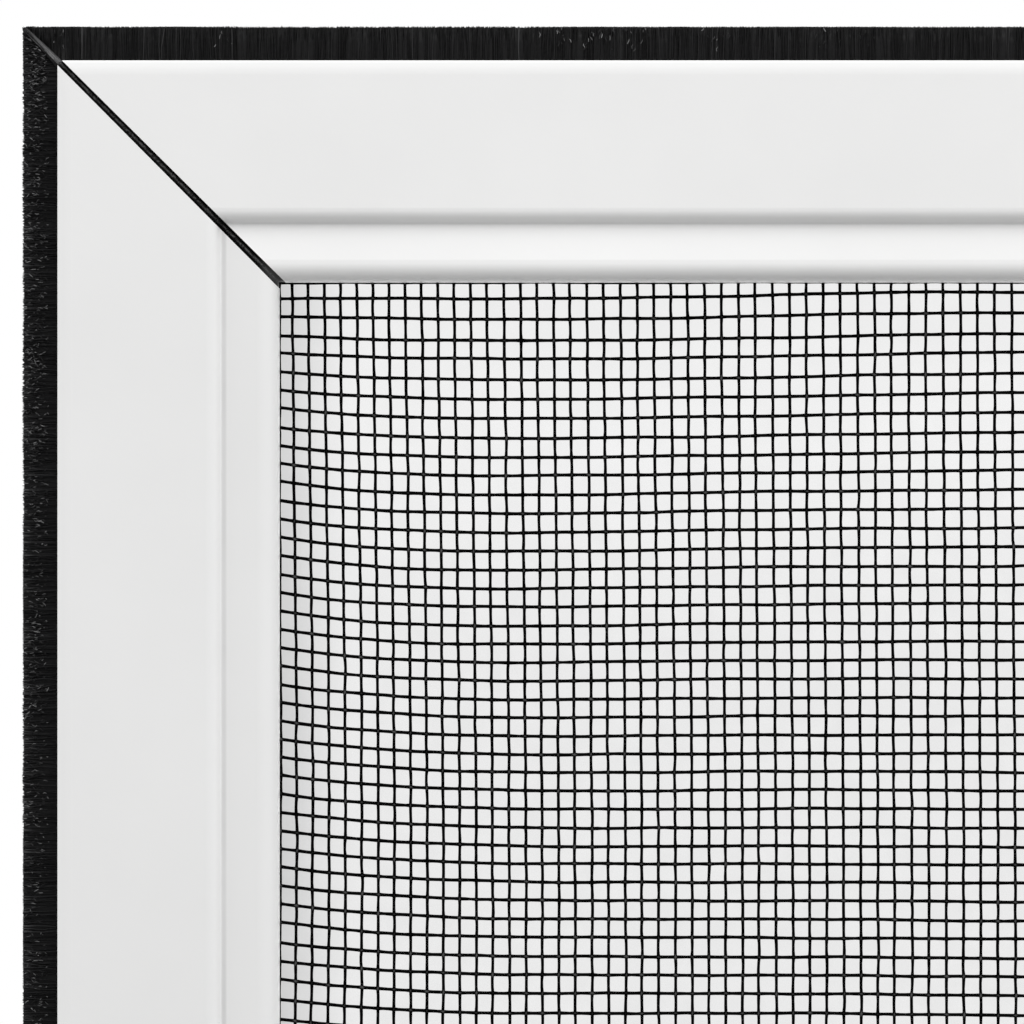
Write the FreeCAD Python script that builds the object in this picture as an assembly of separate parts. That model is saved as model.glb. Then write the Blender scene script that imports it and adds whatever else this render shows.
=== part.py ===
import FreeCAD, Part
import math
import os

# ---------------------------------------------------------------------------
# Window insect screen: mitred aluminium frame, corner keys, woven mesh held by
# a ribbed spline, and a brush seal in a T-slot round the outer edge.
#
# Own frame: upright, +Z up, +X to the right, the room side faces -Y.
# The origin is the centre of the whole screen.
#
# Section coordinates used for every bar:
#   u  distance from the outer edge of the aluminium towards the mesh
#   w  distance from the front face towards the back
# ---------------------------------------------------------------------------

# overall
FRAME_WIDTH = 400.0          # aluminium, outside to outside
FRAME_HEIGHT = 500.0
FRAME_DEPTH = 11.1           # front face to back face of the hollow section
FACE_WIDTH = 18.5            # outer edge to inner edge of the lip

# bar section
OUTER_EDGE_R = 0.22          # rounded front outer edge of the section
SHOULDER_R = 4.4             # low shoulder that runs from it into the face
SHOULDER_ANGLE = 13.0        # slope of the shoulder where it starts
BACK_EDGE_R = 0.9            # rounded back outer edge
FACE_FLAT_END = 12.4         # where the flat face starts to round down
STEP_R = 1.15                # rounding between the face and the step
STEP_ANGLE = 68.0            # slope of the step
STEP_SLOPE = 0.35            # length of its straight part
STEP_FILLET = 0.18           # small hollow at the foot of the step
LIP_TILT = 10.5              # the lip rises from the foot towards the mesh
LIP_R = 1.5                  # rounded inner edge of the lip
WALL = 1.1                   # wall of the section
LIP_WALL = 1.2               # wall between the spline groove and the opening
RIM_W = 7.4                  # the mesh lies on this rim
RIM_R = 0.5                  # rounding of the rim
GROOVE_U0 = 13.75            # spline groove, towards the hollow section
GROOVE_FLOOR = 2.6           # depth of its floor
GROOVE_FILLET = 0.5
RIDGE_W0, RIDGE_W1 = 6.1, 7.1    # ridge that keeps the spline in
RIDGE_H = 0.35
BACK_INNER_R = 0.4

# T-slot in the outer edge
SLOT_MOUTH = 3.0
SLOT_LIP = 0.8
SLOT_WIDTH = 5.2
SLOT_DEPTH = 1.3
SLOT_BACK_WALL = 1.0

# hollow chamber
CHAMBER_FILLET = 0.5

# mitre and corner keys
MITRE_GAP_OUTER = 0.54       # between the two cut ends, at the outer corner
MITRE_GAP_INNER = 0.72       # and at the inner corner: the joint opens a little
KEY_RIB_SIDE = 0.11          # the web fills the joint and carries a rib, this much narrower each side
KEY_RIB_RECESS = 0.40        # the rib stands this far below the painted front
KEY_WEB_RECESS = 0.80        # the web beside it this far
KEY_WEB_BACK = 0.15          # and this far below the back
KEY_WEB_EDGE = 0.05          # and this far inside the outer and inner edges
KEY_WEB_TIP = 1.7            # chamfer at the outer corner
KEY_LEG = 34.0               # leg length from the outer corner
KEY_SHOULDER = 5.0           # full-section block next to the mitre
KEY_CORE_MARGIN = 1.4        # core of the leg is this much slimmer
KEY_FIN = 1.3                # thickness of a gripping fin
KEY_FIN_PITCH = 4.4
KEY_CLEAR = 0.10             # block to chamber wall

# brush seal
PILE_PROUD = 3.05            # pile beyond the aluminium
PILE_WIDTH = 2.7
PILE_MITRE_GAP = 0.22
BACKING_WIDTH = 4.9
BACKING_THICK = 0.9
BACKING_U0 = 1.0
BACKING_MITRE_GAP = 0.30

# mesh and spline
MESH_T = 0.30
MESH_TUCK_U = 14.6           # where the turned edge of the mesh is cut off
MESH_CORNER_RELIEF = 18.9    # turned edges stop this far from the outer corner
SPLINE_R = 1.36
SPLINE_RIB = 0.24            # height of the gripping ribs
SPLINE_RIBS = 10
SPLINE_CLEAR = 0.03

os.makedirs("parts", exist_ok=True)

V = FreeCAD.Vector
Y_AXIS = V(0, 1, 0)
HALF_D = FRAME_DEPTH / 2.0
MID_W = FRAME_DEPTH / 2.0

GROOVE_U1 = FACE_WIDTH - LIP_WALL
SLOT_U1 = SLOT_LIP + SLOT_DEPTH
CHAMBER_U0 = SLOT_U1 + SLOT_BACK_WALL
CHAMBER_U1 = GROOVE_U0 - WALL
CHAMBER_W0 = WALL
CHAMBER_W1 = FRAME_DEPTH - WALL


class Outline:
    """Closed outline in (u, w), drawn with straight lines and tangent arcs."""

    def __init__(self, u, w):
        self.start = (u, w)
        self.at = (u, w)
        self.edges = []

    @staticmethod
    def _v(p):
        return V(0.0, p[1] - HALF_D, -p[0])

    def line(self, u, w):
        if math.hypot(u - self.at[0], w - self.at[1]) > 1e-9:
            self.edges.append(Part.LineSegment(self._v(self.at), self._v((u, w))).toShape())
        self.at = (u, w)
        return self

    def arc(self, centre, u, w):
        """Short arc from the current point to (u, w) round centre."""
        cu, cw = centre
        a0 = math.atan2(self.at[1] - cw, self.at[0] - cu)
        a1 = math.atan2(w - cw, u - cu)
        d = (a1 - a0 + math.pi) % (2.0 * math.pi) - math.pi
        r = math.hypot(u - cu, w - cw)
        am = a0 + d / 2.0
        mid = (cu + r * math.cos(am), cw + r * math.sin(am))
        self.edges.append(Part.Arc(self._v(self.at), self._v(mid), self._v((u, w))).toShape())
        self.at = (u, w)
        return self

    def wire(self):
        if math.hypot(self.start[0] - self.at[0], self.start[1] - self.at[1]) > 1e-9:
            self.line(*self.start)
        return Part.Wire(Part.__sortEdges__(self.edges))

    def face(self):
        return Part.Face(self.wire())


def bar_outline():
    """Outside of the bar section."""
    r0 = BACK_EDGE_R
    d = FRAME_DEPTH
    m0, m1 = MID_W - SLOT_MOUTH / 2.0, MID_W + SLOT_MOUTH / 2.0
    s0, s1 = MID_W - SLOT_WIDTH / 2.0, MID_W + SLOT_WIDTH / 2.0
    # front outer edge and the shoulder behind it
    t = math.radians(SHOULDER_ANGLE)
    u1 = OUTER_EDGE_R * (1.0 - math.sin(t))
    w1 = SHOULDER_R * (1.0 - math.cos(t))
    u2 = u1 + SHOULDER_R * math.sin(t)
    w2 = w1 + OUTER_EDGE_R * math.cos(t)
    o = Outline(0.0, w2)
    o.arc((OUTER_EDGE_R, w2), u1, w1)
    o.arc((u2, SHOULDER_R), u2, 0.0)
    # flat face, rounding, straight slope and hollow foot of the step
    o.line(FACE_FLAT_END, 0.0)
    t = math.radians(STEP_ANGLE)
    u1, w1 = FACE_FLAT_END + STEP_R * math.sin(t), STEP_R * (1.0 - math.cos(t))
    o.arc((FACE_FLAT_END, STEP_R), u1, w1)
    u1, w1 = u1 + STEP_SLOPE * math.cos(t), w1 + STEP_SLOPE * math.sin(t)
    o.line(u1, w1)
    u1, w1 = u1 + STEP_FILLET * math.sin(t), w1 - STEP_FILLET * math.cos(t)
    t = math.radians(LIP_TILT)
    u2, w2 = u1 + STEP_FILLET * math.sin(t), w1 + STEP_FILLET * math.cos(t)
    o.arc((u1, w1), u2, w2)
    # sloping lip and its rounded inner edge
    u1 = FACE_WIDTH - LIP_R
    w1 = w2 - (u1 - u2) * math.tan(t) + LIP_R / math.cos(t)
    o.line(u1 - LIP_R * math.sin(t), w1 - LIP_R * math.cos(t))
    o.arc((u1, w1), FACE_WIDTH, w1)
    # wall of the groove, rounded rim
    o.line(FACE_WIDTH, RIM_W - RIM_R)
    o.arc((FACE_WIDTH - RIM_R, RIM_W - RIM_R), FACE_WIDTH - RIM_R, RIM_W)
    o.line(GROOVE_U1 + RIM_R, RIM_W)
    o.arc((GROOVE_U1 + RIM_R, RIM_W - RIM_R), GROOVE_U1, RIM_W - RIM_R)
    o.line(GROOVE_U1, GROOVE_FLOOR + GROOVE_FILLET)
    o.arc((GROOVE_U1 - GROOVE_FILLET, GROOVE_FLOOR + GROOVE_FILLET),
          GROOVE_U1 - GROOVE_FILLET, GROOVE_FLOOR)
    o.line(GROOVE_U0, GROOVE_FLOOR)
    o.line(GROOVE_U0, RIDGE_W0)
    o.line(GROOVE_U0 + RIDGE_H, RIDGE_W0 + RIDGE_H)
    o.line(GROOVE_U0 + RIDGE_H, RIDGE_W1 - RIDGE_H)
    o.line(GROOVE_U0, RIDGE_W1)
    # back face
    o.line(GROOVE_U0, d - BACK_INNER_R)
    o.arc((GROOVE_U0 - BACK_INNER_R, d - BACK_INNER_R), GROOVE_U0 - BACK_INNER_R, d)
    o.line(r0, d)
    o.arc((r0, d - r0), 0.0, d - r0)
    # T-slot
    o.line(0.0, m1)
    o.line(SLOT_LIP, m1)
    o.line(SLOT_LIP, s1)
    o.line(SLOT_U1, s1)
    o.line(SLOT_U1, s0)
    o.line(SLOT_LIP, s0)
    o.line(SLOT_LIP, m0)
    o.line(0.0, m0)
    return o


def chamber_outline(clear=0.0):
    u0, u1 = CHAMBER_U0 + clear, CHAMBER_U1 - clear
    w0, w1 = CHAMBER_W0 + clear, CHAMBER_W1 - clear
    f = CHAMBER_FILLET
    o = Outline(u0 + f, w0)
    o.line(u1 - f, w0)
    o.arc((u1 - f, w0 + f), u1, w0 + f)
    o.line(u1, w1 - f)
    o.arc((u1 - f, w1 - f), u1 - f, w1)
    o.line(u0 + f, w1)
    o.arc((u0 + f, w1 - f), u0, w1 - f)
    o.line(u0, w0 + f)
    o.arc((u0 + f, w0 + f), u0 + f, w0)
    return o


def rect_outline(u0, u1, w0, w1):
    return Outline(u0, w0).line(u1, w0).line(u1, w1).line(u0, w1)


def run(face, x0, x1):
    """Section face swept along the bar, x measured from the middle."""
    s = face.extrude(V(x1 - x0, 0, 0))
    s.translate(V(x0, 0, 0))
    return s


def gap_at(u):
    """Width of the mitre joint of the aluminium at u."""
    return MITRE_GAP_OUTER + (MITRE_GAP_INNER - MITRE_GAP_OUTER) * u / FACE_WIDTH


def mitred(face, length, gap, reach_out):
    """Bar of the given outside length, both ends cut at 45 degrees.

    gap is a width, or a function of u that gives the width.
    """
    x = length / 2.0 + reach_out + 1.0
    bar = run(face, -x, x)
    a, b = reach_out + 2.0, FACE_WIDTH + 2.0
    wide = gap if callable(gap) else (lambda u: gap)
    xa = length / 2.0 + a - wide(-a) / math.sqrt(2.0)
    xb = length / 2.0 - b - wide(b) / math.sqrt(2.0)
    pts = [V(-xa, -50, a), V(xa, -50, a), V(xb, -50, -b), V(-xb, -50, -b)]
    keep = Part.Face(Part.makePolygon(pts + [pts[0]])).extrude(V(0, 100, 0))
    return bar.common(keep)


def put(shape, turn, outer):
    """Move a bar drawn under the origin to its side of the frame.

    turn is the rotation about +Y: 0 top, 90 right, 180 bottom, 270 left.
    """
    s = shape.copy()
    s.translate(V(0, 0, outer))
    s.rotate(V(0, 0, 0), Y_AXIS, turn)
    return s


def solid(shape):
    """The single cleaned solid of a shape."""
    s = shape.removeSplitter()
    if len(s.Solids) != 1:
        raise RuntimeError("expected one solid, got %d" % len(s.Solids))
    s = s.Solids[0]
    if not s.isValid() or s.Volume <= 0:
        raise RuntimeError("bad solid")
    return s


nodes = {}

SIDES = [
    ("top", "top_rail", 0.0, FRAME_WIDTH, FRAME_HEIGHT / 2.0),
    ("right", "right_stile", 90.0, FRAME_HEIGHT, FRAME_WIDTH / 2.0),
    ("bottom", "bottom_rail", 180.0, FRAME_WIDTH, FRAME_HEIGHT / 2.0),
    ("left", "left_stile", 270.0, FRAME_HEIGHT, FRAME_WIDTH / 2.0),
]

# ---- bars ------------------------------------------------------------------
bar_face = bar_outline().face().cut(chamber_outline().face())
bar_face = bar_face.Faces[0]
for side, name, turn, length, outer in SIDES:
    nodes[name] = solid(put(mitred(bar_face, length, gap_at, 0.0), turn, outer))

# ---- brush seals: backing strip in the slot, pile standing out of it --------
backing_face = rect_outline(BACKING_U0, BACKING_U0 + BACKING_THICK,
                            MID_W - BACKING_WIDTH / 2.0, MID_W + BACKING_WIDTH / 2.0).face()
pile_face = rect_outline(-PILE_PROUD, BACKING_U0,
                         MID_W - PILE_WIDTH / 2.0, MID_W + PILE_WIDTH / 2.0).face()
for side, name, turn, length, outer in SIDES:
    nodes[side + "_brush_backing"] = solid(
        put(mitred(backing_face, length, BACKING_MITRE_GAP, 0.0), turn, outer))
    nodes[side + "_brush_pile"] = solid(
        put(mitred(pile_face, length, PILE_MITRE_GAP, PILE_PROUD), turn, outer))

# ---- splines: ribbed rubber cord, the long pair butts against the short pair -
spline_tip = SPLINE_R + SPLINE_RIB
spline_u = (GROOVE_U0 + GROOVE_U1 - MESH_T) / 2.0
spline_w = GROOVE_FLOOR + MESH_T + SPLINE_CLEAR + spline_tip
pts = []
for i in range(SPLINE_RIBS):
    a = 2.0 * math.pi * i / SPLINE_RIBS
    h = math.pi / SPLINE_RIBS
    for da, r in ((-0.95 * h, SPLINE_R), (-0.40 * h, spline_tip), (0.40 * h, spline_tip), (0.95 * h, SPLINE_R)):
        pts.append((spline_u + r * math.cos(a + da), spline_w + r * math.sin(a + da)))
o = Outline(*pts[0])
for p in pts[1:]:
    o.line(*p)
spline_face = o.face()
long_end = GROOVE_U0 + 0.3
short_end = spline_u + spline_tip + 0.3
for side, name, turn, length, outer in SIDES:
    end = long_end if side in ("top", "bottom") else short_end
    nodes[side + "_spline"] = solid(
        put(run(spline_face, -length / 2.0 + end, length / 2.0 - end), turn, outer))

# ---- mesh: flat sheet on the rims, its edges turned down into the groove -----
edge_u = GROOVE_U1 - MESH_T
px = FRAME_WIDTH / 2.0 - edge_u
pz = FRAME_HEIGHT / 2.0 - edge_u
sheet = Part.makeBox(2 * px, MESH_T, 2 * pz, V(-px, RIM_W - HALF_D, -pz))
c = GROOVE_FILLET
t = MESH_T
k = t * math.tan(math.radians(22.5))
tuck = Outline(GROOVE_U1, RIM_W)
tuck.line(GROOVE_U1, GROOVE_FLOOR + c)
tuck.line(GROOVE_U1 - c, GROOVE_FLOOR)
tuck.line(MESH_TUCK_U, GROOVE_FLOOR)
tuck.line(MESH_TUCK_U, GROOVE_FLOOR + t)
tuck.line(GROOVE_U1 - c - k, GROOVE_FLOOR + t)
tuck.line(GROOVE_U1 - t, GROOVE_FLOOR + c + k)
tuck.line(GROOVE_U1 - t, RIM_W + t)
tuck.line(GROOVE_U1, RIM_W + t)
tuck_face = tuck.face()
for side, name, turn, length, outer in SIDES:
    x = length / 2.0 - MESH_CORNER_RELIEF
    sheet = sheet.fuse(put(run(tuck_face, -x, x), turn, outer))
nodes["screen_mesh"] = solid(sheet)

# ---- corner keys: two finned legs and the thin web that shows in the mitre ---
FAR = 200.0


def half_space(sign):
    """Everything on one side of the mitre plane through the corner."""
    pts = [V(-FAR, -50, FAR), V(FAR, -50, -FAR), V(sign * FAR, -50, sign * FAR)]
    return Part.Face(Part.makePolygon(pts + [pts[0]])).extrude(V(0, 100, 0))


def key_leg():
    """Leg along +X in the chamber of the top bar, corner at the origin."""
    u0, u1, w0, w1 = CHAMBER_U0, CHAMBER_U1, CHAMBER_W0, CHAMBER_W1
    m = KEY_CORE_MARGIN
    block = run(chamber_outline(KEY_CLEAR).face(), 0.0, u1 + KEY_SHOULDER)
    core = run(rect_outline(u0 + m, u1 - m, w0 + m, w1 - m).face(), 0.0, KEY_LEG)
    leg = block.fuse(core)
    fin = chamber_outline(0.0).face()
    x = u1 + KEY_SHOULDER + KEY_FIN_PITCH - KEY_FIN
    while x + KEY_FIN < KEY_LEG - 1.5:
        leg = leg.fuse(run(fin, x, x + KEY_FIN))
        x += KEY_FIN_PITCH
    # tapered nose
    nose = Part.makeLoft([
        rect_outline(u0 + m, u1 - m, w0 + m, w1 - m).wire(),
        rect_outline(u0 + m + 1.2, u1 - m - 1.2, w0 + m + 1.2, w1 - m - 1.2).wire().translated(V(2.6, 0, 0)),
    ], True, True)
    nose.translate(V(KEY_LEG, 0, 0))
    return leg.fuse(nose)


leg_x = key_leg().common(half_space(1))
# the other leg is the same leg mirrored in the mitre plane
leg_z = leg_x.mirror(V(0, 0, 0), V(1, 0, 1))
# the web follows the section, set back from the faces and from the edges, and
# carries a narrower rib along its front
section = bar_outline().face()


def web_part(front, side):
    part = run(section, -10.0, 60.0)
    for dy, dz in ((front, 0.0), (-KEY_WEB_BACK, 0.0), (0.0, KEY_WEB_EDGE), (0.0, -KEY_WEB_EDGE)):
        part = part.common(run(section.translated(V(0, dy, dz)), -10.0, 60.0))
    ua, ub = -2.0, FACE_WIDTH + 2.0
    ta, tb = [(gap_at(u) - 2.0 * side) / math.sqrt(2.0) for u in (ua, ub)]
    pts = [V(ua - ta, -50, -ua), V(ua + ta, -50, -ua), V(ub + tb, -50, -ub), V(ub - tb, -50, -ub)]
    slab = Part.Face(Part.makePolygon(pts + [pts[0]])).extrude(V(0, 100, 0))
    return part.common(slab)


web = web_part(KEY_WEB_RECESS, 0.0).fuse(web_part(KEY_RIB_RECESS, KEY_RIB_SIDE))
k = KEY_WEB_TIP
web = web.cut(run(Outline(-3.0, -3.0).line(k + 3.0, -3.0).line(-3.0, k + 3.0).face(), -10.0, 60.0))
web = web.common(half_space(1))
web = web.fuse(web.mirror(V(0, 0, 0), V(1, 0, 1)))
key = solid(leg_x.fuse(leg_z).fuse(web))
for name, turn, cx, cz in (
        ("top_left_corner_key", 0.0, -1, 1),
        ("top_right_corner_key", 90.0, 1, 1),
        ("bottom_right_corner_key", 180.0, 1, -1),
        ("bottom_left_corner_key", 270.0, -1, -1)):
    s = key.copy()
    s.rotate(V(0, 0, 0), Y_AXIS, turn)
    s.translate(V(cx * FRAME_WIDTH / 2.0, 0, cz * FRAME_HEIGHT / 2.0))
    nodes[name] = solid(s)

# ---- write -------------------------------------------------------------------
for name in sorted(nodes):
    shape = nodes[name]
    shape.exportStep("parts/%s.step" % name)
    b = shape.BoundBox
    print("%-26s %9.1f mm3  x %.2f..%.2f  y %.2f..%.2f  z %.2f..%.2f" % (
        name, shape.Volume, b.XMin, b.XMax, b.YMin, b.YMax, b.ZMin, b.ZMax))
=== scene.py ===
import math

import bpy
import numpy as np
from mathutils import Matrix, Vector


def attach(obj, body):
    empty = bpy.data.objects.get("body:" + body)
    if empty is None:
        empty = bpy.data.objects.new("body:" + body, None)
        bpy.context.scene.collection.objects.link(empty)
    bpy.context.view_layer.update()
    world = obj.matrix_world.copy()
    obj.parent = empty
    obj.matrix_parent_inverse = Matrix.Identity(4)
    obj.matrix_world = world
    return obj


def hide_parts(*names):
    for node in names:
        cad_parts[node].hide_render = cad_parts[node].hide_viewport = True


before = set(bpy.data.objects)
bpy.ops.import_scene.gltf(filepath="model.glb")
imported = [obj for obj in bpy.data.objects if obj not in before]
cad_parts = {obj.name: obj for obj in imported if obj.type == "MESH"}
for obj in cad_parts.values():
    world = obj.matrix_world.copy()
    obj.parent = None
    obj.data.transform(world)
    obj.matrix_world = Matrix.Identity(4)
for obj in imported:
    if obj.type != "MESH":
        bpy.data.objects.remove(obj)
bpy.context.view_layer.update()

# ---------------------------------------------------------------------------
# Sizes, in metres, the same as the construction's. Section coordinates:
# u from the outer edge of the aluminium towards the mesh, w from the front
# face towards the back.
# ---------------------------------------------------------------------------
MM = 0.001
FRAME_W, FRAME_H, DEPTH = 400 * MM, 500 * MM, 11.1 * MM
FACE = 18.5 * MM
HALF_D = DEPTH / 2
RIM_W = 7.4 * MM
MESH_T = 0.30 * MM
GROOVE_U1 = 17.3 * MM
GROOVE_FLOOR = 2.6 * MM
PILE_PROUD = 3.05 * MM
SIDES = {"top": (0, FRAME_W, FRAME_H / 2), "right": (90, FRAME_H, FRAME_W / 2),
         "bottom": (180, FRAME_W, FRAME_H / 2), "left": (270, FRAME_H, FRAME_W / 2)}

# ---------------------------------------------------------------------------
# Camera: straight on to the upper left corner, long lens, 1024 x 1024 image
# ---------------------------------------------------------------------------
CAM = (-161.842 * MM, -805.55 * MM, 212.094 * MM)
MESH_Y = RIM_W - HALF_D + MESH_T / 2
PX = 0.0847 * MM                       # one pixel at the mesh
MESH_DIST = MESH_Y - CAM[1]

cam_data = bpy.data.cameras.new("camera")
cam = bpy.data.objects.new("camera", cam_data)
bpy.context.scene.collection.objects.link(cam)
cam.location = CAM
cam.rotation_euler = (math.radians(90), 0, 0)
cam_data.sensor_fit = "HORIZONTAL"
cam_data.sensor_width = 36.0
cam_data.lens = 36.0 * MESH_DIST / (1024 * PX)
cam_data.clip_start = 0.01
cam_data.clip_end = 60.0
bpy.context.scene.camera = cam


def px_to_x(px):
    return CAM[0] + (px - 512.0) * PX


def py_to_z(py):
    return CAM[2] - (py - 512.0) * PX


# ---------------------------------------------------------------------------
# Mesh helpers
# ---------------------------------------------------------------------------
def mesh_object(name, verts, tris, smooth=True, attrs=None):
    me = bpy.data.meshes.new(name)
    verts = np.ascontiguousarray(verts, np.float32)
    tris = np.ascontiguousarray(tris, np.int32)
    me.vertices.add(len(verts))
    me.vertices.foreach_set("co", verts.ravel())
    me.loops.add(len(tris) * 3)
    me.loops.foreach_set("vertex_index", tris.ravel())
    me.polygons.add(len(tris))
    me.polygons.foreach_set("loop_start", np.arange(0, len(tris) * 3, 3, dtype=np.int32))
    me.polygons.foreach_set("loop_total", np.full(len(tris), 3, np.int32))
    me.update(calc_edges=True)
    me.polygons.foreach_set("use_smooth", np.full(len(tris), smooth, bool))
    for key, values in (attrs or {}).items():
        a = me.attributes.new(key, "FLOAT", "POINT")
        a.data.foreach_set("value", np.ascontiguousarray(values, np.float32))
    me.validate()
    ob = bpy.data.objects.new(name, me)
    bpy.context.scene.collection.objects.link(ob)
    return ob


def place(side, s, u, w):
    """Section coordinates of one bar to the object's frame."""
    turn, length, outer = SIDES[side]
    y = w - HALF_D
    r = outer - u
    if turn == 0:
        return np.stack([s, y, r], -1)
    if turn == 90:
        return np.stack([r, y, -s], -1)
    if turn == 180:
        return np.stack([-s, y, -r], -1)
    return np.stack([-r, y, s], -1)


class Builder:
    def __init__(self):
        self.v, self.t, self.a, self.n = [], [], [], 0

    def add(self, verts, tris, tone=None):
        self.v.append(verts)
        self.t.append(tris + self.n)
        self.a.append(np.zeros(len(verts)) if tone is None else tone)
        self.n += len(verts)

    def get(self):
        return np.concatenate(self.v), np.concatenate(self.t), np.concatenate(self.a)


def tube(path, ref, radius, sides, phase=0.0):
    """Open tube along path; ref is a direction square to the path everywhere."""
    path = np.asarray(path, float)
    n = len(path)
    t = np.gradient(path, axis=0)
    t /= np.linalg.norm(t, axis=1)[:, None]
    ref = np.asarray(ref, float)
    a = ref - (t @ ref)[:, None] * t
    a /= np.linalg.norm(a, axis=1)[:, None]
    b = np.cross(t, a)
    ang = phase + np.arange(sides) * 2 * math.pi / sides
    r = np.broadcast_to(np.asarray(radius, float), (n,))[:, None, None]
    ring = path[:, None, :] + r * (np.cos(ang)[None, :, None] * a[:, None, :] + np.sin(ang)[None, :, None] * b[:, None, :])
    v = ring.reshape(-1, 3)
    i, k = np.meshgrid(np.arange(n - 1), np.arange(sides), indexing="ij")
    k2 = (k + 1) % sides
    p, q = i * sides + k, i * sides + k2
    p2, q2 = p + sides, q + sides
    tri = np.concatenate([np.stack([p, q, q2], -1).reshape(-1, 3), np.stack([p, q2, p2], -1).reshape(-1, 3)])
    return v, tri


# ---------------------------------------------------------------------------
# Woven mesh: 18 upright yarns and 16 level yarns to the inch, plain weave,
# fused where they cross. It is pulled over the rims into the groove, and the
# pull leaves it slightly uneven.
# ---------------------------------------------------------------------------
rng = np.random.default_rng(1816)
WARP_R, WEFT_R = 0.137 * MM, 0.151 * MM
WEAVE = 0.080 * MM                      # half the offset of two yarns that cross
WARP_PITCH, WEFT_PITCH = 16.7065, 18.6797     # pixels at the mesh
WARP_0, WEFT_0 = 291.30, 303.29
HERO_WARPS, HERO_WEFTS = 45, 40

# unevenness of the weave near the corner, in pixels, as sums of products of
# Chebyshev polynomials; rows run across the yarns, columns along them
SWAY = np.array([[1.05, 2.38, -0.60, -0.28], [0.31, -0.04, 0.54, 0.09],
                 [3.35, -0.44, -0.16, -0.12], [0.03, 0.53, -0.09, 0.15]])
SAG = np.array([[-2.77, 2.34, -2.98, 1.94, -0.43], [2.12, 5.45, -0.91, 0.76, -0.44],
                [-3.22, -1.89, 1.47, -0.79, 0.50], [2.39, 0.32, -0.70, 0.40, -0.21],
                [-0.06, -0.62, 0.46, 0.04, 0.04], [0.52, 0.26, -0.13, -0.02, 0.22]])


def smooth(x):
    x = np.clip(x, 0, 1)
    return x * x * (3 - 2 * x)


def field(c, across, along):
    """Unevenness at a place; it dies out away from the corner."""
    p, q = (across - 652) / 380.0, (along - 652) / 380.0
    f = smooth(1 - (np.maximum(p - 1, 0) + np.maximum(q - 1, 0)) / 1.8)
    return f * np.polynomial.chebyshev.chebval2d(np.clip(p, -1, 1), np.clip(q, -1, 1), c)


def ripple(n, length, sigma, scale):
    """Slow seeded unevenness along each of n yarns."""
    t = np.arange(length)
    out = np.zeros((n, length))
    for k in (1.0, 0.53, 0.29):
        lam = scale * k * rng.uniform(0.8, 1.25, (n, 1))
        out += np.sin(2 * math.pi * (t[None, :] / lam + rng.random((n, 1)))) * math.sqrt(2 / 3.0)
    return out * sigma


x_left, x_right = -FRAME_W / 2 + GROOVE_U1, FRAME_W / 2 - GROOVE_U1
z_top, z_bottom = FRAME_H / 2 - GROOVE_U1, -FRAME_H / 2 + GROOVE_U1
px_left = 512 + (x_left - CAM[0]) / PX
px_right = 512 + (x_right - CAM[0]) / PX
py_top = 512 - (z_top - CAM[2]) / PX
py_bottom = 512 - (z_bottom - CAM[2]) / PX
n_warp = int((px_right - 6 - WARP_0) // WARP_PITCH) + 1
n_weft = int((py_bottom - 6 - WEFT_0) // WEFT_PITCH) + 1
warps = np.arange(-1, n_warp)
wefts = np.arange(-1, n_weft)
warp_px = WARP_0 + WARP_PITCH * warps
weft_py = WEFT_0 + WEFT_PITCH * wefts
warp_jit = rng.normal(0, 0.20, len(warps))
weft_jit = rng.normal(0, 0.31, len(wefts))

# crossing points of the part that is seen close
hw, hf = HERO_WARPS + 1, HERO_WEFTS + 1
GX, GY = np.meshgrid(warp_px[:hw], weft_py[:hf], indexing="ij")
CX = GX + field(SWAY, GX, GY) + warp_jit[:hw, None] + ripple(hw, hf, 0.15, 13) + rng.normal(0, 0.20, (hw, hf))
CY = GY + field(SAG, GY, GX) + weft_jit[None, :hf] + ripple(hf, hw, 0.28, 26).T + rng.normal(0, 0.06, (hw, hf))
# the outermost yarn of each kind lies close along the lip
CX[0, :] = np.maximum(CX[0, :], 279.6 + ripple(1, hf, 0.25, 17)[0])
CY[:, 0] = np.maximum(CY[:, 0], 282.0 + 0.5 * smooth((700 - CX[:, 0]) / 80) + ripple(1, hw, 0.22, 19)[0])
OVER = np.where((np.arange(hw)[:, None] + np.arange(hf)[None, :]) % 2 == 0, 1.0, -1.0)


def tuck(edge, sign, along, upright):
    """The three points where a yarn goes over the rim and down into the groove.

    edge is the groove wall's place on the axis that the yarn runs along, and
    sign points from the middle of the mesh to that edge.
    """
    leg = edge + sign * 0.16 * MM
    ys = [MESH_Y, MESH_Y - 0.45 * MM, GROOVE_FLOOR - HALF_D + 0.55 * MM]
    run = [edge - sign * 0.45 * MM, leg, leg]
    if upright:
        return [(along, y, r) for y, r in zip(ys, run)]
    return [(r, y, along) for y, r in zip(ys, run)]


b = Builder()
SUB = 3
SWELL = np.array([1.10, 0.96, 0.96])    # a yarn is widest where it is fused


def weave_path(main, cross, sign, bow):
    """Points between successive crossings, riding over and under; bow is how far a
    yarn swings aside between two of them."""
    n = len(main)
    k = np.arange((n - 1) * SUB + 1) / SUB
    i = np.minimum(k.astype(int), n - 2)
    f = k - i
    m = main[i] * (1 - f) + main[i + 1] * f + bends.normal(0, bow, n - 1)[i] * np.sin(math.pi * f)
    c = cross[i] * (1 - f) + cross[i + 1] * f
    h = sign[i] * np.cos(math.pi * f) * WEAVE
    return m, c, h


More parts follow.
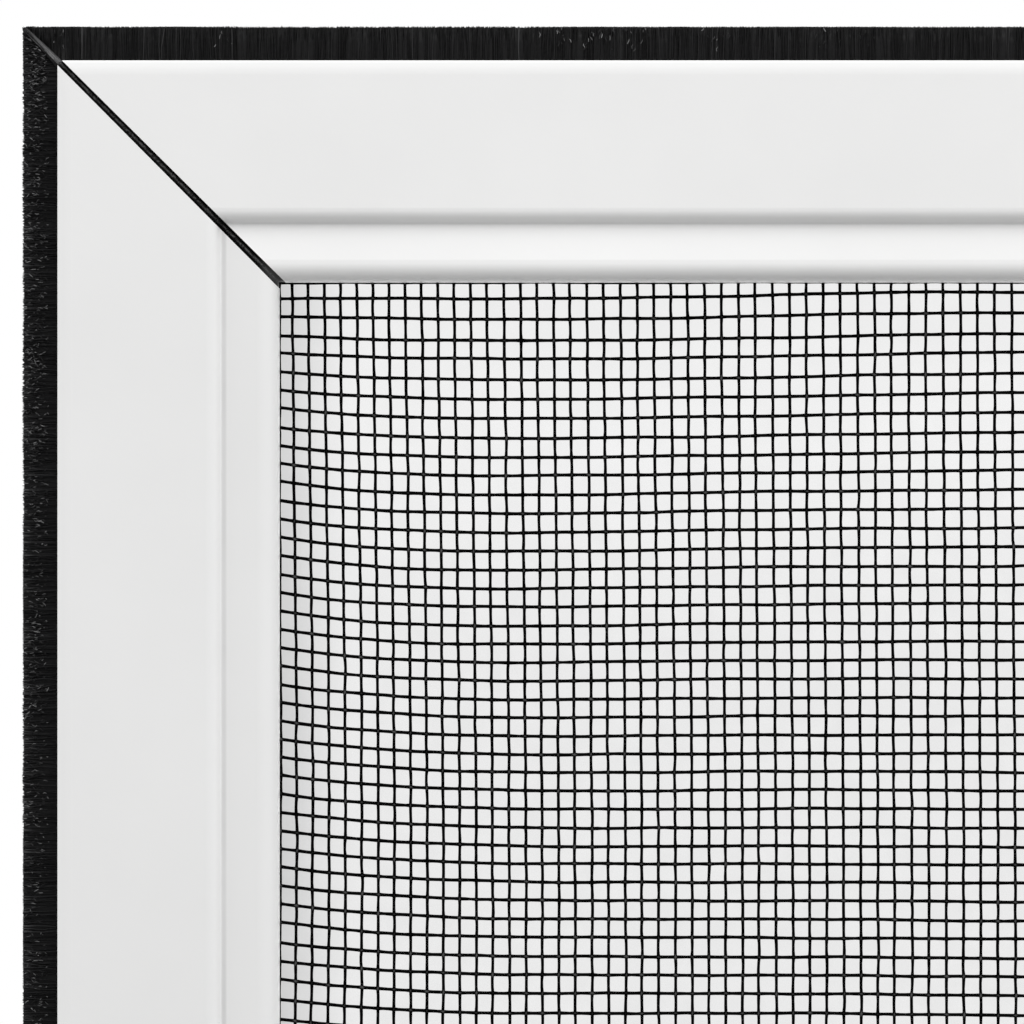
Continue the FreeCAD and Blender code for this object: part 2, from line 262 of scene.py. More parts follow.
def yarn(near, far, n_near, upright, ends):
    """One yarn from groove to groove; near is woven, far runs straight on."""
    p = np.concatenate([near, far])
    axis = 2 if upright else 0
    lo, hi = ends
    keep = (p[:, axis] > lo + 0.9 * MM) & (p[:, axis] < hi - 0.9 * MM)
    swell = np.concatenate([np.resize(SWELL, n_near), np.ones(len(far))])[keep]
    p = p[keep]
    first, last = (hi, lo) if upright else (lo, hi)
    sign = 1 if upright else -1
    other = 0 if upright else 2
    path = np.concatenate([np.array(tuck(first, sign, p[0, other], upright))[::-1], p,
                           np.array(tuck(last, -sign, p[-1, other], upright))])
    swell = np.concatenate([np.ones(3), swell, np.ones(3)])
    if n_near:
        swell = swell * (1 + 0.04 * rng.standard_normal(len(swell)))
    sides = 5 if n_near else 4
    v, t = tube(path, (1, 0, 0) if upright else (0, 0, 1), (WARP_R if upright else WEFT_R) * swell, sides, 0.3)
    # painted highlights on the crown of each crossing, on the front where the yarn rides over and on the back where it
    # dips under, stronger on some than on others
    tone = np.zeros((len(path), sides))
    if n_near:
        rise = np.zeros(len(path))
        rise[3:-3] = (MESH_Y - p[:, 1]) / WEAVE
        glint = np.clip(glint_draw.normal(0.80, 0.13, len(path)), 0.5, 1.0)
        tone[:, 1] = glint * (rise > 0.98)
        tone[:, 0] = tone[:, 2] = 0.5 * tone[:, 1]
        tone[:, 3] = tone[:, 4] = glint * (rise < -0.98)
    b.add(v, t, tone.ravel())


COARSE = 42 * MM
NONE = np.zeros((0, 3))
glint_draw, bends = np.random.default_rng(77), np.random.default_rng(78)
for j in range(len(warps)):
    near, last = NONE, py_top + 8
    if j < hw:
        px, py, h = weave_path(CX[j], CY[j], OVER[j], 0.22)
        near, last = np.stack([px_to_x(px), MESH_Y - h, py_to_z(py)], -1), py[-1]
    end = py_bottom - 8
    m = max(3, int(round((end - last) * PX / COARSE)) + 1)
    far = np.linspace(last, end, m)[(1 if j < hw else 0):]
    fx = warp_px[j] + field(SWAY, np.full_like(far, warp_px[j]), far) + warp_jit[j]
    far = np.stack([px_to_x(fx), np.full(len(far), MESH_Y - 0.055 * MM), py_to_z(far)], -1)
    yarn(near, far, len(near), True, (z_bottom, z_top))

for i in range(len(wefts)):
    near, last = NONE, px_left + 8
    if i < hf:
        py, px, h = weave_path(CY[:, i], CX[:, i], -OVER[:, i], 0.10)
        near, last = np.stack([px_to_x(px), MESH_Y - h, py_to_z(py)], -1), px[-1]
    end = px_right - 8
    m = max(3, int(round((end - last) * PX / COARSE)) + 1)
    far = np.linspace(last, end, m)[(1 if i < hf else 0):]
    fy = weft_py[i] + field(SAG, np.full_like(far, weft_py[i]), far) + weft_jit[i]
    far = np.stack([px_to_x(far), np.full(len(far), MESH_Y + 0.055 * MM), py_to_z(fy)], -1)
    yarn(near, far, len(near), False, (x_left, x_right))

# yarns that lie along the groove in the turned-down edge
for side in SIDES:
    turn, length, outer = SIDES[side]
    half = length / 2 - 18.9 * MM
    for w in (6.0, 4.5, 3.1):
        s = np.linspace(-half, half, 12)
        path = place(side, s, np.full(12, GROOVE_U1 - 0.16 * MM), np.full(12, w * MM))
        v, t = tube(path, (0, 1, 0), WARP_R, 4, 0.3)
        b.add(v, t)

verts, tris, tones = b.get()
weave = mesh_object("screen_weave", verts, tris, attrs={"tone": tones})
print("screen_weave triangles", len(tris))

# ---------------------------------------------------------------------------
# Brush seal: a dense row of fine fibres standing out of the T-slot, over a
# packed dark heart, cut at 45 degrees at the corners.
# ---------------------------------------------------------------------------
MID_W = DEPTH / 2
MITRE = 0.05 * MM                      # half the mitre joint of the pile, along the bar


def waves(s, seed, spans):
    r = np.random.default_rng(seed)
    out = np.zeros_like(s)
    for span, amp in spans:
        for _ in range(3):
            out += amp * np.sin(2 * math.pi * (s / (span * MM * r.uniform(0.7, 1.4)) + r.random()))
    return out


def make_brush(side, seed, near, dense, sparse, ragged, pale, grade, frizz, longer, specks, frays=(), trim=1.0):
    """near is the stretch (s0, s1) seen close; dense and sparse are fibres per mm;
    ragged is how unevenly the pile is cut; pale is the tone of a fibre, set per side
    as painted light, and grade how much it rises from foot to tip, painted shade at
    the foot; frizz is how crooked the fibres are; longer is added to their length;
    specks is the number of loose bits; frays are the stretches (middle, half-length,
    strength) where the cut is ragged, and trim is what is left of that elsewhere."""
    r = np.random.default_rng(seed)
    turn, length, outer = SIDES[side]
    half = length / 2
    bld = Builder()

    def frayed(s):
        k = np.full_like(s, trim)
        for mid, hl, strength in frays:
            k = np.maximum(k, trim + (strength - trim) * smooth((hl - np.abs(s - mid)) / (4 * MM) + 0.5))
        return k

    # packed heart, lower where the cut is ragged
    n = 192
    q = np.linspace(-1, 1, n)
    low = np.minimum(1.0, frayed(q * (half + PILE_PROUD))) * (0.03 * MM + 2.0 * ragged)
    u0, u1, hw_ = 0.95 * MM, -PILE_PROUD - longer + 0.06 * MM + low, 1.10 * MM
    rows = []
    for u, w in ((u0, -hw_), (-0.1 * MM, -hw_), (-1.6 * MM, -hw_ * 1.03), (u1, -hw_ * 0.93),
                 (u1 - 0.06 * MM, 0.0),
                 (u1, hw_ * 0.93), (-1.6 * MM, hw_ * 1.03), (-0.1 * MM, hw_), (u0, hw_)):
        u = np.ones(n) * u
        s = q * (half - u - 0.012 * MM)
        rows.append(place(side, s, u + waves(s, seed + 7, ((9.0, 0.012 * MM), (3.1, 0.010 * MM))),
                          np.full(n, MID_W + w)))
    g = np.stack(rows, 0)                     # rows x n x 3
    m = len(rows)
    i, k = np.meshgrid(np.arange(m), np.arange(n - 1), indexing="ij")
    i2 = (i + 1) % m
    p, p2, o, o2 = i * n + k, i2 * n + k, i * n + k + 1, i2 * n + k + 1
    tri = np.concatenate([np.stack([p, o, o2], -1).reshape(-1, 3), np.stack([p, o2, p2], -1).reshape(-1, 3)])
    caps = []
    for c in range(1, m - 1):
        caps.append((0, c * n, (c + 1) * n))
        caps.append((n - 1, (c + 1) * n + n - 1, c * n + n - 1))
    tri = np.concatenate([tri, np.array(caps)])
    bld.add(g.reshape(-1, 3), tri, np.full(m * n, 0.14))

    def strand(points, rad, tone, rise=0.0):
        """Three-sided fibres through the same number of points each, ending in a tip."""
        n = len(tone)
        if n == 0:
            return
        rings = len(rad)
        size = r.uniform(0.82, 1.18, n)
        ph = r.random(n) * 2 * math.pi
        # the two directions square to a fibre, good enough for a thin one
        s0_, u0_, w0_ = points[0]
        s1_, u1_, w1_ = points[-1]
        ds, du = s1_ - s0_, u1_ - u0_
        ln = np.sqrt(ds * ds + du * du) + 1e-12
        ns, nu = -du / ln, ds / ln
        verts = []
        for c in range(rings):
            s, u, w = points[c]
            for k in range(3):
                a = ph + k * 2 * math.pi / 3
                d = rad[c] * size * np.cos(a)
                verts.append(place(side, s + d * ns, u + d * nu, w + rad[c] * size * np.sin(a)))
        s, u, w = points[-1]
        verts.append(place(side, s, u, w))
        per = rings * 3 + 1
        tri = []
        for c in range(rings - 1):
            for k in range(3):
                a0, a1 = c * 3 + k, c * 3 + (k + 1) % 3
                tri += [(a0, a1 + 3, a1), (a0, a0 + 3, a1 + 3)]
        for k in range(3):
            tri.append(((rings - 1) * 3 + k, per - 1, (rings - 1) * 3 + (k + 1) % 3))
        T = (np.arange(n)[:, None, None] * per + np.array(tri)[None]).reshape(-1, 3)
        up = np.concatenate([np.repeat(np.linspace(-1, 1, rings + 1)[:-1], 3), [1.0]])
        shade = np.clip(tone[:, None] * (1 + rise * up[None, :]), 0, 1)
        bld.add(np.stack(verts, 1).reshape(-1, 3), T, shade.ravel())

    # fibres stand square to the bar; beyond the bar's end they start at the mitre
    reach = half + PILE_PROUD - 0.25 * MM

    def fibres(s0, fine):
        n = len(s0)
        pick = r.random(n)
        t = r.random(n)
        wn = np.where(pick < 0.42, -1 + 0.42 * t ** 1.5, np.where(pick < 0.66, 1 - 0.42 * t ** 1.5, -0.7 + 1.4 * t))
        w0 = wn * 1.17 * MM
        base_u = np.minimum(0.55 * MM, half - np.abs(s0) - 1.5 * MITRE)
        tip = r.normal(0, ragged, n) + waves(s0, seed + 11, ((23.0, 0.25 * ragged), (6.0, 0.4 * ragged), (1.7, 0.4 * ragged)))
        tip = PILE_PROUD + longer + tip * frayed(s0)
        short = r.random(n) < 0.16
        tip = np.where(short, tip - r.uniform(0.1, 0.6, n) * MM * np.minimum(1.0, 0.2 + frayed(s0)), tip)
        tip = np.minimum(tip, PILE_PROUD + longer + 0.10 * MM)
        lean = waves(s0, seed + 23, ((14.0, 0.035 * MM), (4.0, 0.035 * MM))) + r.normal(0, 0.10 * frizz * MM, n)
        dw = w0 * 0.10 + r.normal(0, 0.05 * MM, n)
        bow = r.normal(0, 0.045 * frizz * MM, n)
        tone = np.clip(r.normal(pale, 0.11 + 0.05 * frizz, n) + waves(s0, seed + 31, ((5.0, 0.03), (1.3, 0.03))), 0.0, 0.62)
        tone = np.where(r.random(n) < 0.006, r.uniform(0.60, 0.72, n), tone)
        if fine:
            fr, rad = np.array([0.0, 0.55, 0.965]), np.array([0.058, 0.058, 0.050]) * MM
        else:
            fr, rad = np.array([0.0, 0.95]), np.array([0.098, 0.088]) * MM
        pts = []
        for f in list(fr) + [1.0]:
            u = base_u + (-tip - base_u) * f
            s = s0 + lean * f ** 1.3 + bow * math.sin(math.pi * f)
            lim = half - u - MITRE          # nothing crosses the mitre
            pts.append((np.clip(s, -lim, lim), u, MID_W + w0 + dw * f))
        strand(pts, rad, tone, grade)

    s_far = r.uniform(-reach, reach, int(2 * reach / MM * sparse))
    if near:
        s_near = r.uniform(near[0], near[1], int((near[1] - near[0]) / MM * dense))
        fibres(s_near[np.abs(s_near) < reach], True)
        s_far = s_far[(s_far < near[0]) | (s_far > near[1])]
    fibres(s_far, False)

    # cut pile ends that lie along the mitre, paler than the rest
    for end in (-1, 1):
        for face in (-1, 1):
            n = 96
            off0 = (0.015 + np.abs(r.normal(0, 0.11 + 0.07 * frizz, n))) * MM
            off1 = (0.015 + np.abs(r.normal(0, 0.07 + 0.03 * frizz, n))) * MM
            a = r.uniform(-0.9, 0.05, n) * MM
            z = -PILE_PROUD + r.uniform(0.02, 1.6, n) ** 1.6 * MM
            z = np.minimum(z, a - 0.4 * MM)
            pts = []
            for f in (0.0, 0.5, 1.0):
                u = a + (z - a) * f
                d = off1 + (off0 - off1) * np.clip((u + PILE_PROUD) / PILE_PROUD, 0, 1) ** 1.5
                pts.append((end * (half - u - d), u, np.full(n, MID_W + face * 1.44 * MM) + r.normal(0, 0.02 * MM, n)))
            strand(pts, np.array([0.030, 0.032]) * MM, np.clip(0.99 - 1.05 * off0 / MM + r.normal(0, 0.06, n), 0.4, 1), -0.10)

    # loose bits of pile on the face
    n = specks
    if n:
        lo, hi = near
        c = hi - (hi - lo) * r.random(n // 9 + 1) ** (1.35 if side == "left" else 1.0)
        s0 = np.clip(r.choice(c, n) + r.normal(0, 0.9 * MM, n), lo, hi)
        u = -(0.85 + 1.95 * r.random(n) ** 0.8) * MM
        keep = np.abs(s0) < half - u - 0.5 * MM
        s0, u = s0[keep], u[keep]
        n = len(s0)
        ln, an = r.uniform(0.12, 0.50, n) * MM, r.normal(0, 0.38, n)
        ln = np.minimum(ln, PILE_PROUD + longer + u + (0.14 * np.minimum(1.0, frayed(s0)) - 0.06) * MM)
        w = np.full(n, MID_W - 1.45 * MM)
        mid = r.normal(0, 0.06 * MM, n)
        pts = [(s0, u, w), (s0 + 0.5 * ln * np.sin(an) + mid, u - 0.5 * ln * np.cos(an), w - 0.04 * MM),
               (s0 + ln * np.sin(an), u - ln * np.cos(an), w - 0.02 * MM)]
        strand(pts, np.array([0.040, 0.046]) * MM, 0.46 + 0.54 * r.random(n) ** 2.0)

    v, t, a = bld.get()
    ob = mesh_object(side + "_brush_fibres", v, t, True, {"tone": a})
    print(ob.name, "triangles", len(t))
    return ob


# the pile tones carry painted light: the top pile is set darker, as the light falls strongest on it, and the left pile
# is set paler, with tips far paler than their feet as painted shade beside the aluminium
brushes = {
    "top": make_brush("top", 41, (-FRAME_W / 2 - 4 * MM, -FRAME_W / 2 + 88 * MM), 56, 21, 0.012 * MM,
                      0.22, 0.05, 1.0, 0.03 * MM, 90,
                      ((px_to_x(305), 6.5 * MM, 1.6), (px_to_x(455), 6.5 * MM, 1.1), (px_to_x(960), 4 * MM, 0.5),
                       (0.05, 12 * MM, 1.2), (0.15, 20 * MM, 0.8)), 0.12),
    "left": make_brush("left", 42, (FRAME_H / 2 - 88 * MM, FRAME_H / 2 + 4 * MM), 56, 19, 0.026 * MM,
                       0.47, 0.47, 2.2, 0.10 * MM, 1900,
                       ((py_to_z(305), 19 * MM, 1.1), (py_to_z(755), 6.4 * MM, 1.0),
                        (-0.06, 20 * MM, 0.9), (-0.19, 12 * MM, 1.0)), 0.15),
    "bottom": make_brush("bottom", 43, None, 0, 24, 0.020 * MM, 0.30, 0.25, 1.3, 0.0, 0),
    "right": make_brush("right", 44, None, 0, 22, 0.020 * MM, 0.30, 0.25, 1.3, 0.06 * MM, 0),
}


# ---------------------------------------------------------------------------
# Materials
# ---------------------------------------------------------------------------
def material(name):
    m = bpy.data.materials.new(name)
    m.use_nodes = True
    nt = m.node_tree
    nt.nodes.clear()
    out = nt.nodes.new("ShaderNodeOutputMaterial")
    bs = nt.nodes.new("ShaderNodeBsdfPrincipled")
    nt.links.new(bs.outputs["BSDF"], out.inputs["Surface"])
    return m, nt, bs


def noise(nt, scale, detail=3.0, rough=0.5):
    co = nt.nodes.new("ShaderNodeTexCoord").outputs["Object"]
    n = nt.nodes.new("ShaderNodeTexNoise")
    n.inputs["Scale"].default_value = scale
    n.inputs["Detail"].default_value = detail
    n.inputs["Roughness"].default_value = rough
    nt.links.new(co, n.inputs["Vector"])
    return n.outputs["Fac"]


def ramp(nt, fac, stops):
    r = nt.nodes.new("ShaderNodeValToRGB")
    el = r.color_ramp.elements
    while len(el) < len(stops):
        el.new(0.5)
    for e, (pos, col) in zip(el, stops):
        e.position = pos
        e.color = (col, col, col, 1) if not hasattr(col, "__len__") else (*col, 1)
    nt.links.new(fac, r.inputs["Fac"])
    return r.outputs["Color"]


def span(nt, fac, low, high, lo_in=0.0, hi_in=1.0):
    r = nt.nodes.new("ShaderNodeMapRange")
    r.inputs["From Min"].default_value = lo_in
    r.inputs["From Max"].default_value = hi_in
    r.inputs["To Min"].default_value = low
    r.inputs["To Max"].default_value = high
    nt.links.new(fac, r.inputs["Value"])
    return r.outputs["Result"]


def bump(nt, bs, height, strength, distance, base=None):
    k = nt.nodes.new("ShaderNodeBump")
    k.inputs["Strength"].default_value = strength
    k.inputs["Distance"].default_value = distance
    nt.links.new(height, k.inputs["Height"])
    if base:
        nt.links.new(base, k.inputs["Normal"])
    nt.links.new(k.outputs["Normal"], bs.inputs["Normal"])
    return k.outputs["Normal"]


def calc(op, a, b=None):
    m = nt.nodes.new("ShaderNodeMath")
    m.operation = op
    for k, v in enumerate((a, b)):
        if isinstance(v, (int, float)):
            m.inputs[k].default_value = v
        elif v is not None:
            nt.links.new(v, m.inputs[k])
    return m.outputs[0]


def ease(fac, lo_in, hi_in, low, high):
    r = nt.nodes.new("ShaderNodeMapRange")
    r.interpolation_type = "SMOOTHSTEP"
    for k, v in zip(("From Min", "From Max", "To Min", "To Max"), (lo_in, hi_in, low, high)):
        r.inputs[k].default_value = v
    nt.links.new(fac, r.inputs["Value"])
    return r.outputs["Result"]


def position():
    """Place on the object: |x|, y and |z|."""
    s = nt.nodes.new("ShaderNodeSeparateXYZ")
    nt.links.new(nt.nodes.new("ShaderNodeNewGeometry").outputs["Position"], s.inputs[0])
    return calc("ABSOLUTE", s.outputs["X"]), s.outputs["Y"], calc("ABSOLUTE", s.outputs["Z"])


# white powder coat: faint orange peel, slow tone drift, uneven sheen, and
# a thin line of painted shade down the crease of the uprights, on the front
white, nt, bs = material("white_powder_coat")
coat = ramp(nt, noise(nt, 42.0, 3.0, 0.55), ((0.30, (0.795, 0.795, 0.792)), (0.72, (0.822, 0.822, 0.819))))
away_x, depth_y, away_z = position()
in_x, in_z = calc("SUBTRACT", FRAME_W / 2, away_x), calc("SUBTRACT", FRAME_H / 2, away_z)
upright = calc("MULTIPLY", calc("LESS_THAN", in_x, in_z), calc("LESS_THAN", depth_y, 0.0))
# painted shade: the front of the uprights is darkened along the crease at the foot of the step
crease = ease(calc("ABSOLUTE", calc("SUBTRACT", in_x, 13.95 * MM)), 0.05 * MM, 0.32 * MM, 0.15, 0.0)
crease = calc("MULTIPLY", crease, span(nt, noise(nt, 160.0, 3.0), 0.75, 1.15, 0.3, 0.7))
crease_shaded = nt.nodes.new("ShaderNodeVectorMath")
crease_shaded.operation = "SCALE"
nt.links.new(coat, crease_shaded.inputs[0])
nt.links.new(calc("SUBTRACT", 1.0, calc("MULTIPLY", crease, upright)), crease_shaded.inputs["Scale"])
nt.links.new(crease_shaded.outputs["Vector"], bs.inputs["Base Color"])
nt.links.new(span(nt, noise(nt, 310.0, 2.0), 0.38, 0.52, 0.3, 0.7), bs.inputs["Roughness"])
bs.inputs["Specular IOR Level"].default_value = 0.40
peel = bump(nt, bs, noise(nt, 1150.0, 2.0, 0.45), 0.20, 0.00003)
bump(nt, bs, noise(nt, 9000.0, 1.0), 0.06, 0.00001, peel)

# black moulded plastic of the corner keys; the web is painted darker beside the
# bars, as the shade down the narrow gaps, and is paler towards its inner end
key_mat, nt, bs = material("key_plastic")
away_x, depth_y, away_z = position()
across = calc("ABSOLUTE", calc("SUBTRACT", calc("SUBTRACT", away_z, away_x), (FRAME_H - FRAME_W) / 2))
ragged_edge = span(nt, noise(nt, 1400.0, 3.0), -0.06 * MM, 0.06 * MM, 0.3, 0.7)
# painted shade: the web goes dark towards both edges, where the gaps beside the bars are in shade
middle = ease(calc("ADD", across, ragged_edge), 0.04 * MM, 0.19 * MM, 1.0, 0.04)
inner = ease(away_x, FRAME_W / 2 - 18.3 * MM, FRAME_W / 2 - 16.6 * MM, 1.0, 0.0)
grain = span(nt, noise(nt, 6500.0, 2.0, 0.6), 0.002, 0.098, 0.34, 0.66)
tone = calc("ADD", calc("MULTIPLY", grain, middle), calc("MULTIPLY", inner, 0.070))
mixed = nt.nodes.new("ShaderNodeCombineColor")
for k in ("Red", "Green", "Blue"):
    nt.links.new(tone, mixed.inputs[k])
nt.links.new(mixed.outputs["Color"], bs.inputs["Base Color"])
nt.links.new(span(nt, noise(nt, 1500.0, 2.0), 0.42, 0.62, 0.3, 0.7), bs.inputs["Roughness"])
bs.inputs["Specular IOR Level"].default_value = 0.06
bump(nt, bs, noise(nt, 5200.0, 3.0), 0.45, 0.00004)

# coated yarn of the mesh; the tone attribute lifts the base colour into the painted highlights on the crossings
yarn_mat, nt, bs = material("coated_yarn")
at = nt.nodes.new("ShaderNodeAttribute")
at.attribute_name = "tone"
black = span(nt, noise(nt, 2600.0, 2.0), 0.0003, 0.0016, 0.3, 0.75)
nt.links.new(calc("ADD", black, ease(at.outputs["Fac"], 0.42, 0.95, 0.0, 0.088)), bs.inputs["Base Color"])
nt.links.new(span(nt, noise(nt, 4200.0, 2.0), 0.38, 0.60, 0.3, 0.7), bs.inputs["Roughness"])
bs.inputs["Specular IOR Level"].default_value = 0.018
bump(nt, bs, noise(nt, 16000.0, 2.0), 0.2, 0.00001)

# ribbed rubber spline
rubber, nt, bs = material("spline_rubber")
nt.links.new(ramp(nt, noise(nt, 380.0, 4.0), ((0.3, (0.018, 0.018, 0.018)), (0.7, (0.034, 0.034, 0.034)))), bs.inputs["Base Color"])
nt.links.new(span(nt, noise(nt, 700.0, 2.0), 0.55, 0.78, 0.3, 0.7), bs.inputs["Roughness"])
bs.inputs["Specular IOR Level"].default_value = 0.3
bump(nt, bs, noise(nt, 3200.0, 3.0), 0.3, 0.00003)

# woven strip under the pile
strip, nt, bs = material("brush_backing")
co = nt.nodes.new("ShaderNodeTexCoord").outputs["Object"]
wv = nt.nodes.new("ShaderNodeTexWave")
wv.inputs["Scale"].default_value = 620.0
wv.inputs["Distortion"].default_value = 0.6
wv.bands_direction = "DIAGONAL"
nt.links.new(co, wv.inputs["Vector"])
nt.links.new(ramp(nt, wv.outputs["Fac"], ((0.2, (0.016, 0.016, 0.017)), (0.8, (0.040, 0.040, 0.042)))), bs.inputs["Base Color"])
nt.links.new(span(nt, noise(nt, 900.0, 2.0), 0.5, 0.7, 0.3, 0.7), bs.inputs["Roughness"])
bump(nt, bs, wv.outputs["Fac"], 0.5, 0.00008)

# pile fibre: each fibre has its own tone, which also carries the painted light and shade set per side and from foot to
# tip
fibre, nt, bs = material("brush_pile_fibre")
at = nt.nodes.new("ShaderNodeAttribute")
at.attribute_name = "tone"
nt.links.new(ramp(nt, at.outputs["Fac"], ((0.0, (0.003, 0.003, 0.0032)), (0.30, (0.0085, 0.0085, 0.0089)),
                                         (0.60, (0.020, 0.020, 0.0207)), (1.0, (0.200, 0.200, 0.202)))), bs.inputs["Base Color"])
nt.links.new(span(nt, noise(nt, 2500.0, 2.0), 0.45, 0.70, 0.3, 0.7), bs.inputs["Roughness"])
bs.inputs["Specular IOR Level"].default_value = 0.14
bump(nt, bs, noise(nt, 9000.0, 2.0), 0.2, 0.00002)


def dress(ob, mat):
    ob.data.materials.clear()
    ob.data.materials.append(mat)


for n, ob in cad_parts.items():
    if n.endswith(("_rail", "_stile")):
        dress(ob, white)
    elif n.endswith("_corner_key"):
        dress(ob, key_mat)
    elif n.endswith("_spline"):
        dress(ob, rubber)
    elif n.endswith("_brush_backing"):
        dress(ob, strip)
    elif n.endswith("_brush_pile"):
        dress(ob, fibre)
    else:
        dress(ob, yarn_mat)

dress(weave, yarn_mat)
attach(weave, "root")
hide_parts("screen_mesh")
for side, ob in brushes.items():
    dress(ob, fibre)
    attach(ob, "root")
    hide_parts(side + "_brush_pile")

# ---------------------------------------------------------------------------
# Stage: pale floor, white card behind the mesh, soft light
# ---------------------------------------------------------------------------
scene = bpy.context.scene
scene.view_settings.view_transform = "Standard"
scene.view_settings.look = "None"
scene.view_settings.exposure = 0.0
scene.view_settings.gamma = 1.0

floor_z = -FRAME_H / 2 - PILE_PROUD - 0.0002
n, rings = 96, np.array([0.0, 0.4, 0.8, 1.3, 1.9, 2.6, 3.4])
fv, ft = [(0.0, 0.0, floor_z)], []
for rr in rings[1:]:
    for a in range(n):
        fv.append((rr * math.cos(2 * math.pi * a / n), rr * math.sin(2 * math.pi * a / n), floor_z))
for a in range(n):
    ft.append((0, 1 + a, 1 + (a + 1) % n))
for c in range(len(rings) - 2):
    for a in range(n):
        p, q = 1 + c * n + a, 1 + c * n + (a + 1) % n
        ft += [(p, p + n, q + n), (p, q + n, q)]
floor = mesh_object("floor", np.array(fv), np.array(ft), False)
fm, nt, bs = material("floor_pale")
nt.links.new(ramp(nt, noise(nt, 6.0, 3.0), ((0.3, (0.80, 0.80, 0.795)), (0.7, (0.84, 0.84, 0.835)))), bs.inputs["Base Color"])
nt.links.new(span(nt, noise(nt, 35.0, 2.0), 0.60, 0.75, 0.3, 0.7), bs.inputs["Roughness"])
bs.inputs["Specular IOR Level"].default_value = 0.2
co = nt.nodes.new("ShaderNodeTexCoord").outputs["Object"]
ln = nt.nodes.new("ShaderNodeVectorMath")
ln.operation = "LENGTH"
nt.links.new(co, ln.inputs[0])
above = calc("SUBTRACT", 1.0, nt.nodes.new("ShaderNodeNewGeometry").outputs["Backfacing"])
nt.links.new(calc("MULTIPLY", span(nt, ln.outputs["Value"], 1.0, 0.0, 0.75, 2.6), above), bs.inputs["Alpha"])
dress(floor, fm)
floor.visible_diffuse = False          # the floor throws no light up at the screen
floor.visible_glossy = False

# a white card close behind the mesh, seen only from the front
cw, ch, cy = FRAME_W / 2 - FACE + 1.2 * MM, FRAME_H / 2 - FACE + 1.2 * MM, HALF_D + 0.15 * MM
card = mesh_object("card", np.array([(-cw, cy, -ch), (cw, cy, -ch), (cw, cy, ch), (-cw, cy, ch)]), np.array([(0, 1, 2), (0, 2, 3)]), False)
cm, nt, bs = material("card_white")
nt.links.new(ramp(nt, noise(nt, 420.0, 3.0), ((0.3, (0.15, 0.15, 0.15)), (0.7, (0.22, 0.22, 0.22)))), bs.inputs["Base Color"])
bs.inputs["Roughness"].default_value = 0.9
bs.inputs["Specular IOR Level"].default_value = 0.0
bs.inputs["Emission Color"].default_value = (1, 1, 1, 1)
# it glows: a little more under the top rail, and seen paler than it lights; less
# is seen beside the stiles, which stand between it and the light
sx = nt.nodes.new("ShaderNodeSeparateXYZ")
nt.links.new(nt.nodes.new("ShaderNodeTexCoord").outputs["Object"], sx.inputs[0])
beside = ease(calc("ABSOLUTE", sx.outputs["X"]), 0.1750, 0.1830, 1.0, 0.71)
below = ease(sx.outputs["Z"], 0.1950, 0.2280, 0.725, 0.800)
ray = nt.nodes.new("ShaderNodeLightPath").outputs["Is Camera Ray"]
glow = calc("ADD", calc("MULTIPLY", calc("MULTIPLY", beside, below), ray), calc("MULTIPLY", calc("SUBTRACT", 1.0, ray), 1.35))
nt.links.new(glow, bs.inputs["Emission Strength"])
geo = nt.nodes.new("ShaderNodeNewGeometry")
nt.links.new(span(nt, geo.outputs["Backfacing"], 1.0, 0.0), bs.inputs["Alpha"])
dress(card, cm)
card.visible_shadow = False
card.visible_transmission = False

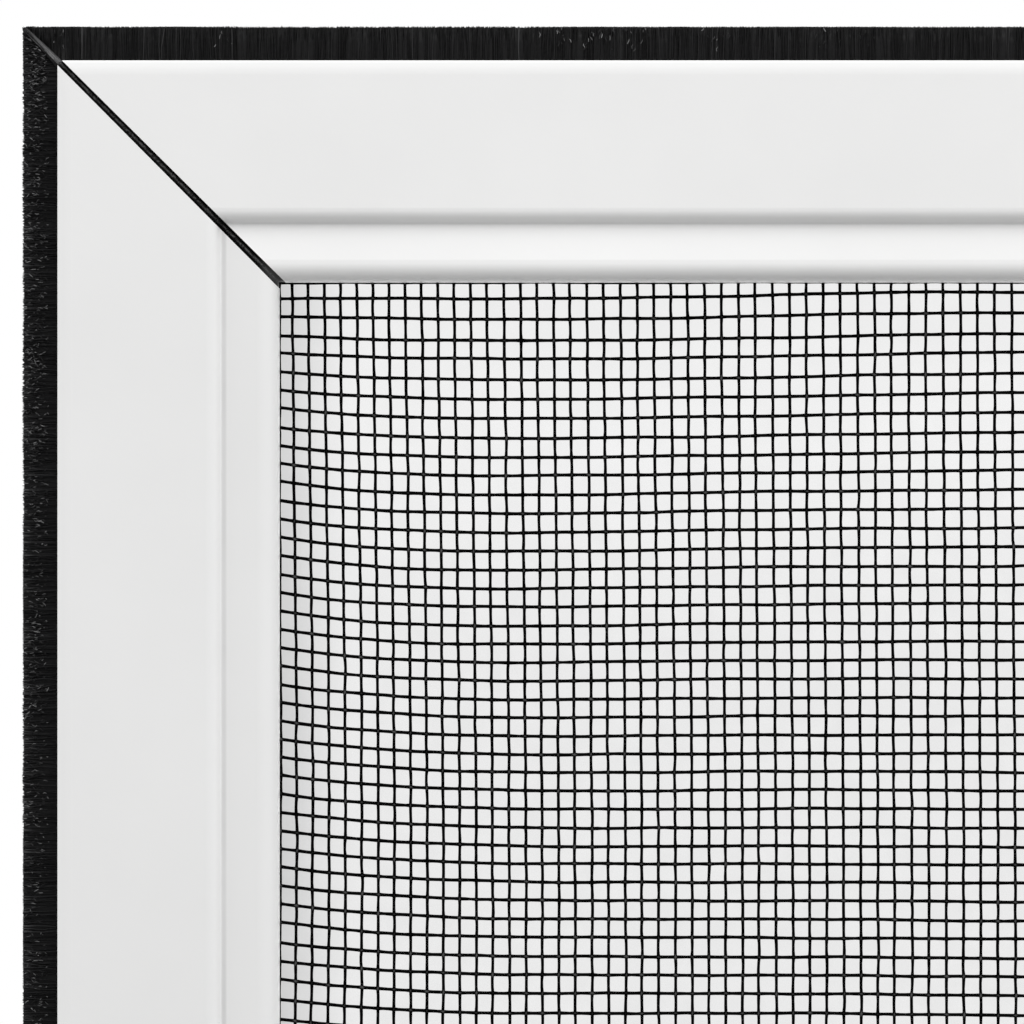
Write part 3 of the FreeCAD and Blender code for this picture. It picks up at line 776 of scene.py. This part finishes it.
# a wide bright surround, strongest from above and from the front
world = bpy.data.worlds.new("studio")
scene.world = world
world.use_nodes = True
nt = world.node_tree
nt.nodes.clear()
out = nt.nodes.new("ShaderNodeOutputWorld")
mix = nt.nodes.new("ShaderNodeMixShader")
seen = nt.nodes.new("ShaderNodeBackground")
seen.inputs["Color"].default_value = (1, 1, 1, 1)
seen.inputs["Strength"].default_value = 1.0
lit = nt.nodes.new("ShaderNodeBackground")
lit.inputs["Color"].default_value = (1, 1, 1, 1)
lp = nt.nodes.new("ShaderNodeLightPath")
co = nt.nodes.new("ShaderNodeTexCoord").outputs["Generated"]
# 0.455 + 0.35 z + 0.22 max(z, 0) + 0.80 x^2, for a direction (x, y, z)
upper = nt.nodes.new("ShaderNodeVectorMath")
upper.operation = "MAXIMUM"
upper.inputs[1].default_value = (-1.0, -1.0, 0.0)
nt.links.new(co, upper.inputs[0])
flank = nt.nodes.new("ShaderNodeVectorMath")
flank.operation = "MULTIPLY"
nt.links.new(co, flank.inputs[0])
nt.links.new(co, flank.inputs[1])
parts = []
for vec, weight in ((co, (0.0, 0.0, 0.35)), (upper.outputs["Vector"], (0.0, 0.0, 0.22)), (flank.outputs["Vector"], (0.80, 0.0, 0.0))):
    d = nt.nodes.new("ShaderNodeVectorMath")
    d.operation = "DOT_PRODUCT"
    d.inputs[1].default_value = weight
    nt.links.new(vec, d.inputs[0])
    parts.append(d.outputs["Value"])
level = parts[0]
for other in parts[1:]:
    add = nt.nodes.new("ShaderNodeMath")
    add.operation = "ADD"
    nt.links.new(level, add.inputs[0])
    nt.links.new(other, add.inputs[1])
    level = add.outputs[0]
nt.links.new(span(nt, level, 0.0, 2.4, -0.455, 1.945), lit.inputs["Strength"])
nt.links.new(lp.outputs["Is Camera Ray"], mix.inputs[0])
nt.links.new(lit.outputs[0], mix.inputs[1])
nt.links.new(seen.outputs[0], mix.inputs[2])
nt.links.new(mix.outputs[0], out.inputs["Surface"])


def softbox(name, place_at, aim, size, power):
    at = Vector(place_at)
    li = bpy.data.lights.new(name, "AREA")
    li.shape = "SQUARE"
    li.size = size
    li.energy = power
    ob = bpy.data.objects.new(name, li)
    scene.collection.objects.link(ob)
    ob.location = at
    ob.rotation_euler = (Vector(aim) - at).to_track_quat("-Z", "Y").to_euler()
    ob.visible_camera = False
    return ob


softbox("overhead", (-0.05, -0.40, 0.68), (-0.16, 0.0, 0.20), 0.5, 2.15)
softbox("rear", (-0.84, 2.04, 1.08), (0.0, 0.0, 0.0), 1.6, 9.0)
